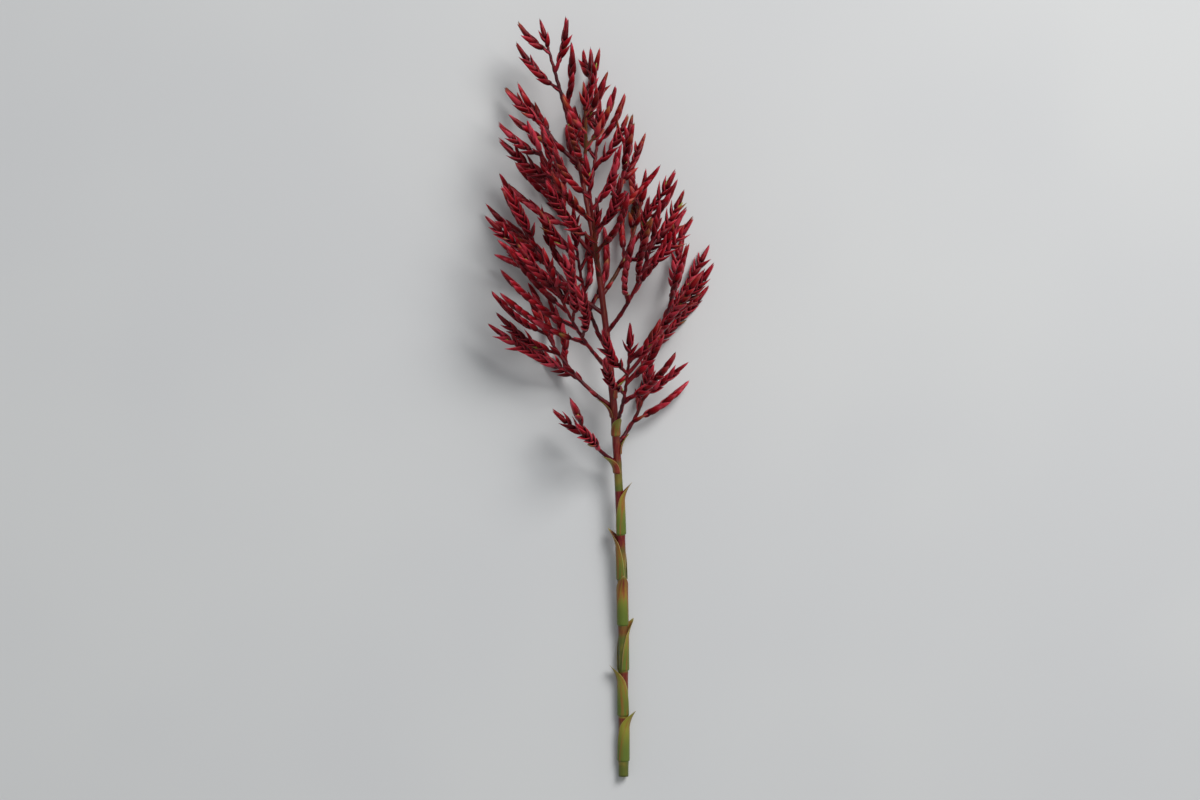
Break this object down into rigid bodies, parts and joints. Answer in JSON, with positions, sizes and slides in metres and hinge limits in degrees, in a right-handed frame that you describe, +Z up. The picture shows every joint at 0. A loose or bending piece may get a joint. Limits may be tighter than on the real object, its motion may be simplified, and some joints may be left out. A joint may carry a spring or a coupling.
{
  "type": "bromeliad cut flower",
  "caption": "Long cut flower stalk with clasping bracts and a branched head of slender spikes with two rows of pointed crimson bracts, lying on its side.",
  "frame": {"origin": "on the surface that the flower lies on, below the middle of the whole flower's box", "axes": "+Z up; +Y along the flower from the cut end of the stalk to the tips of the spikes; +X across it"},
  "size_m": [0.2464, 0.8114, 0.1656],
  "materials": {
    "stalk": "fresh stem, olive green flushed with red, slightly waxy",
    "stalk_bract": "thin leafy sheath, green to yellow green with red flushes and pale margins",
    "branch_bract": "thin leafy bract, yellow green with a reddish base",
    "spikes": "waxy crimson bracts, pinker at the tips, semi-gloss"
  },
  "bodies": {
    "root": {"stalk": "stalk", "stalk_bract_1": "stalk_bract", "stalk_bract_2": "stalk_bract", "stalk_bract_3": "stalk_bract", "stalk_bract_4": "stalk_bract", "stalk_bract_5": "stalk_bract", "stalk_bract_6": "stalk_bract", "branch_01": "spikes", "branch_02": "spikes", "branch_03": "spikes", "branch_04": "spikes", "branch_05": "spikes", "branch_06": "spikes", "branch_07": "spikes", "branch_08": "spikes", "branch_09": "spikes", "branch_10": "spikes", "branch_11": "spikes", "branch_12": "spikes", "branch_13": "spikes", "branch_14": "spikes", "branch_15": "spikes", "branch_16": "spikes", "branch_17": "spikes", "branch_18": "spikes", "branch_bract_1": "branch_bract", "branch_bract_2": "branch_bract", "branch_bract_3": "branch_bract", "branch_bract_4": "branch_bract", "branch_bract_5": "branch_bract", "top_spray": "spikes"}
  },
  "joints": []
}
